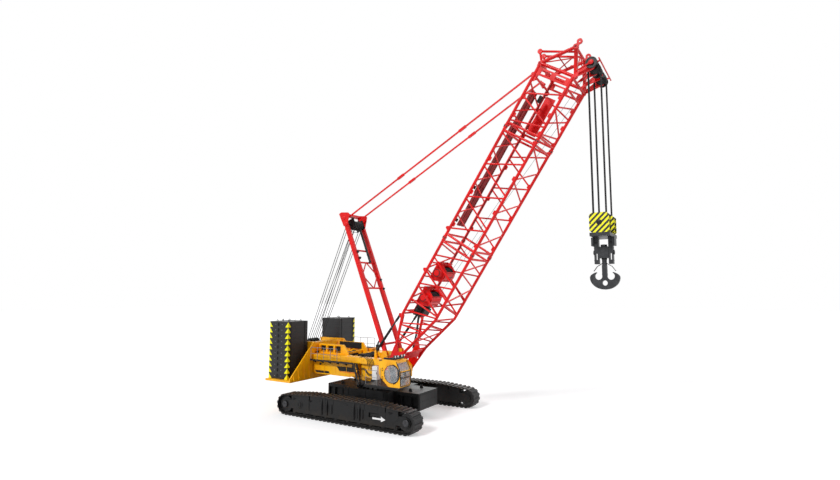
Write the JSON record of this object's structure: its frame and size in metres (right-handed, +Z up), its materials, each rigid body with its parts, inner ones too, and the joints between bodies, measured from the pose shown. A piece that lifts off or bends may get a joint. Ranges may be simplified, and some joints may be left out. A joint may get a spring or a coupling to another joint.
{
  "type": "crawler crane",
  "caption": "Lattice-boom crawler crane: track undercarriage, slewing frame with cab, stacked counterweights, luffing mast, stays and a ramshorn hook block.",
  "frame": {"origin": "on the ground under the slewing axis, midway between the tracks", "axes": "+X forward along the boom, +Y to the left of the machine, +Z up"},
  "size_m": [26.896, 10.29, 26.6103],
  "materials": {
    "undercarriage_dark": "satin",
    "track_steel": "worn",
    "bearing_steel": "machined",
    "crane_yellow": "gloss",
    "boom_red": "gloss",
    "weight_grey": "painted",
    "winch_dark": "satin",
    "sheave_black": "satin",
    "rope_steel": "greased",
    "hook_grey": "forged",
    "cheek_yellow": "gloss",
    "rod_chrome": "polished",
    "barrel_black": "gloss",
    "window_glass": "tinted",
    "seat_black": "matte",
    "rail_grey": "satin",
    "panel_white": "gloss",
    "engine_yellow": "gloss"
  },
  "bodies": {
    "carbody": {"car_body": "undercarriage_dark", "track_belt_right": "track_steel", "track_belt_left": "track_steel", "track_frame_right": "undercarriage_dark", "track_frame_left": "undercarriage_dark", "track_rollers_right": "track_steel", "track_rollers_left": "track_steel", "track_wheels_right": "track_steel", "track_wheels_left": "track_steel"},
    "upper": {"slew_bearing": "bearing_steel", "main_frame": "crane_yellow", "front_ears": "crane_yellow", "rear_frame": "crane_yellow", "deck_winches": "winch_dark", "engine_house": "engine_yellow", "side_tank": "crane_yellow", "side_deck": "rail_grey", "white_locker": "panel_white", "hand_rails": "rail_grey", "counterweight_tray": "crane_yellow", "counterweights_right": "weight_grey", "counterweights_left": "weight_grey", "luffing_block": "winch_dark", "cab_shell": "crane_yellow", "cab_hinges": "winch_dark", "cab_glass": "window_glass", "cab_seat": "seat_black", "cab_platform": "winch_dark", "cab_guard": "winch_dark"},
    "door": {"cab_door": "crane_yellow", "door_glass": "window_glass"},
    "mast": {"mast_legs": "boom_red", "mast_ties": "boom_red", "mast_sheaves": "sheave_black", "mast_cylinder": "barrel_black"},
    "boom": {"boom_feet": "boom_red", "boom_base_chords": "boom_red", "boom_base_lacing": "boom_red", "boom_insert_chords": "boom_red", "boom_insert_lacing": "boom_red", "boom_top_chords": "boom_red", "boom_top_lacing": "boom_red", "boom_lugs": "boom_red", "tip_frame": "boom_red", "tip_plates": "boom_red", "tip_sheaves": "sheave_black", "tip_guard": "boom_red", "boom_winch_drums": "winch_dark", "boom_winch_beams": "boom_red", "stowed_bars": "boom_red", "boom_panel": "panel_white"},
    "stays": {"pendants": "boom_red"},
    "hook_block": {"hoist_falls": "rope_steel", "block_cheeks": "cheek_yellow", "block_sheaves": "sheave_black", "block_frame": "hook_grey"},
    "hook": {"ramshorn_hook": "hook_grey"},
    "stop_barrels": {"backstop_barrels": "barrel_black"},
    "stop_rods": {"backstop_rods": "rod_chrome"}
  },
  "joints": [
    {"name": "slew", "type": "hinge", "parent": "carbody", "child": "upper", "pos_m": [0, 0, 2.16], "axis": [0, 0, 1], "continuous": true},
    {"name": "boom_luff", "type": "hinge", "parent": "upper", "child": "boom", "pos_m": [1.56, 0, 3.15], "axis": [0, -1, 0], "range_deg": [-20, 20]},
    {"name": "mast_luff", "type": "hinge", "parent": "upper", "child": "mast", "pos_m": [1.157, 0, 4.715], "axis": [0, -1, 0], "range_deg": [-24, 24]},
    {"name": "stay_pivot", "type": "hinge", "parent": "boom", "child": "stays", "pos_m": [13.46278, 0, 24.72853], "axis": [0, -1, 0], "range_deg": [-2, 2]},
    {"name": "hook_plumb", "type": "hinge", "parent": "boom", "child": "hook_block", "pos_m": [17.602, 0, 24.15098], "axis": [0, -1, 0], "range_deg": [-21, 21]},
    {"name": "hook_swivel", "type": "hinge", "parent": "hook_block", "child": "hook", "pos_m": [17.602, 0, 12.02], "axis": [0, 0, 1], "continuous": true},
    {"name": "stop_swing", "type": "hinge", "parent": "upper", "child": "stop_barrels", "pos_m": [0.4, 0, 4.8], "axis": [0, -1, 0], "range_deg": [-25, 25]},
    {"name": "stop_slide", "type": "slide", "parent": "stop_barrels", "child": "stop_rods", "axis": [0.6122, 0, 0.7907], "range_m": [-0.7, 0.7]},
    {"name": "cab_door", "type": "hinge", "parent": "upper", "child": "door", "pos_m": [3.18, -4.324, 3.74], "axis": [0, 0, -1], "range_deg": [0, 100]}
  ],
  "couplings": [
    {"joint": "mast_luff", "follows": "boom_luff", "ratio": 1.13},
    {"joint": "stay_pivot", "follows": "boom_luff", "ratio": 0.01},
    {"joint": "hook_plumb", "follows": "boom_luff", "ratio": -1},
    {"joint": "stop_swing", "follows": "boom_luff", "ratio": 1.16},
    {"joint": "stop_slide", "follows": "boom_luff", "m_per_rad": -1.876}
  ]
}
